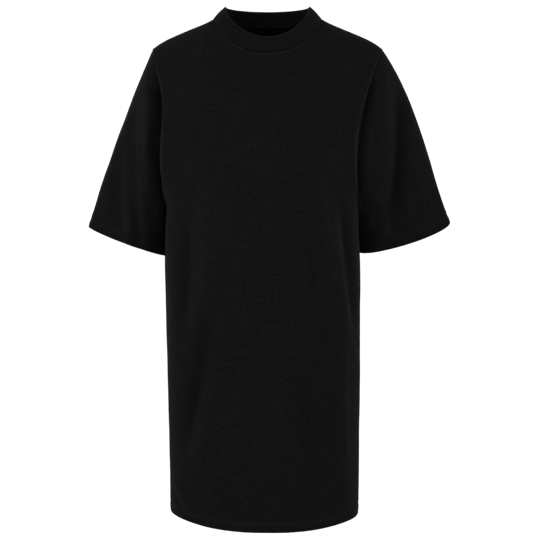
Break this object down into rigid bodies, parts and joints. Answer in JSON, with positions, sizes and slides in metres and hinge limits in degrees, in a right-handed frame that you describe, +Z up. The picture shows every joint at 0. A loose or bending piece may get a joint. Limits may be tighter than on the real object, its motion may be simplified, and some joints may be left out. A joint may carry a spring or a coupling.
{
  "type": "t-shirt dress",
  "caption": "Loose black jersey T-shirt dress with a stand collar, set-in half sleeves and a straight body, filled out as if worn and open at the neck, cuffs and hem.",
  "frame": {"origin": "the middle of the neck opening, level with the tops of the shoulder seams, where the wearer holds the dress up", "axes": "+Z up through the neck opening, -Y the front of the dress, +X the wearer's left"},
  "size_m": [0.6525, 0.247, 0.92],
  "materials": {
    "jersey": "matt black cotton jersey"
  },
  "bodies": {
    "root": {"front": "jersey", "back": "jersey", "sleeve_right": "jersey", "sleeve_left": "jersey", "collar": "jersey"}
  },
  "joints": []
}
